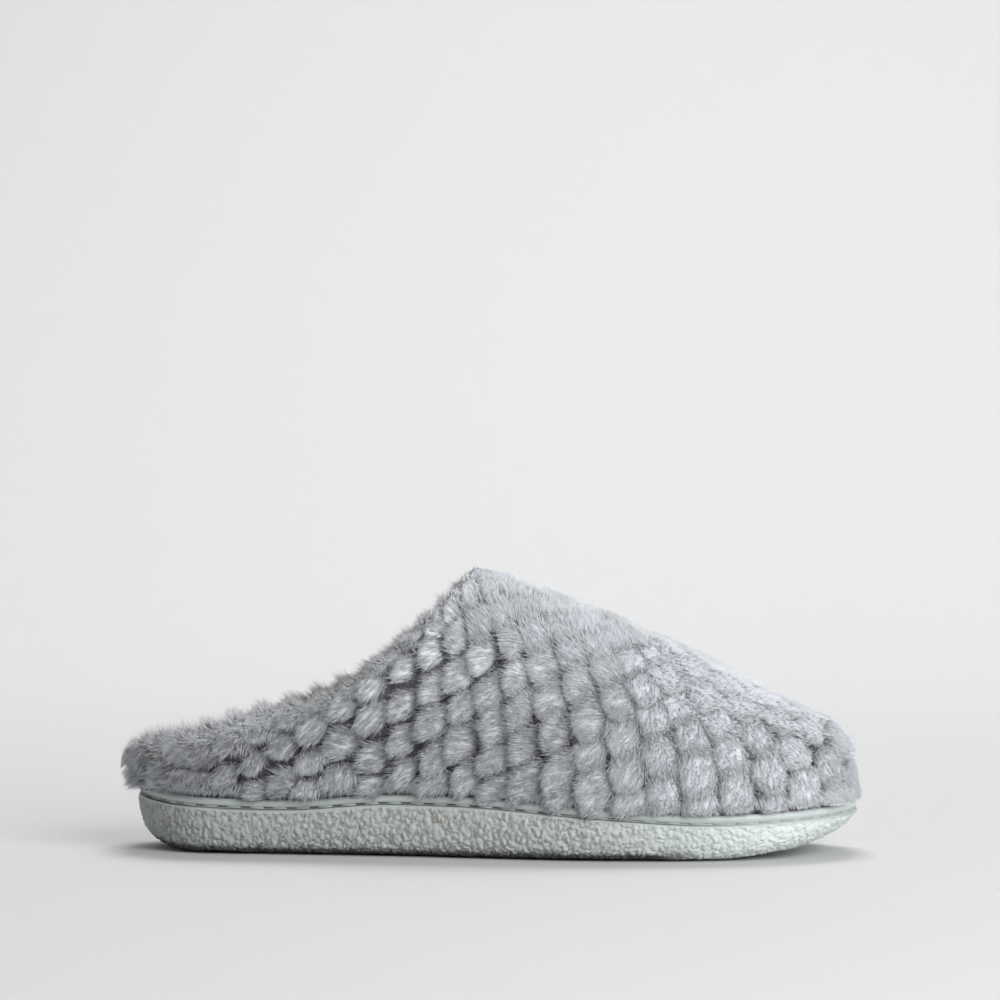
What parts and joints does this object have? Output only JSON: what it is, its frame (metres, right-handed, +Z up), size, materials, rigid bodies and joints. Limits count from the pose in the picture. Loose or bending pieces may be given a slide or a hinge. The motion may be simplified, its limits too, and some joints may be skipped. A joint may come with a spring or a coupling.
{
  "type": "house slipper",
  "caption": "Backless-looking plush house slipper for the right foot: tufted hollow upper with a low heel wall, dished insole and moulded cup sole with a stitched lip.",
  "frame": {"origin": "on the floor, under the middle of the slipper's box", "axes": "+X to the toe, +Y to the inner side of the foot, +Z up"},
  "size_m": [0.2594, 0.0978, 0.1002],
  "materials": {
    "outsole": "matt pale grey-green foamed rubber, pebbled side",
    "insole": "short grey pile over foam",
    "upper": "deep grey plush in tufts"
  },
  "bodies": {
    "root": {"outsole": "outsole", "insole": "insole", "upper": "upper"}
  },
  "joints": []
}
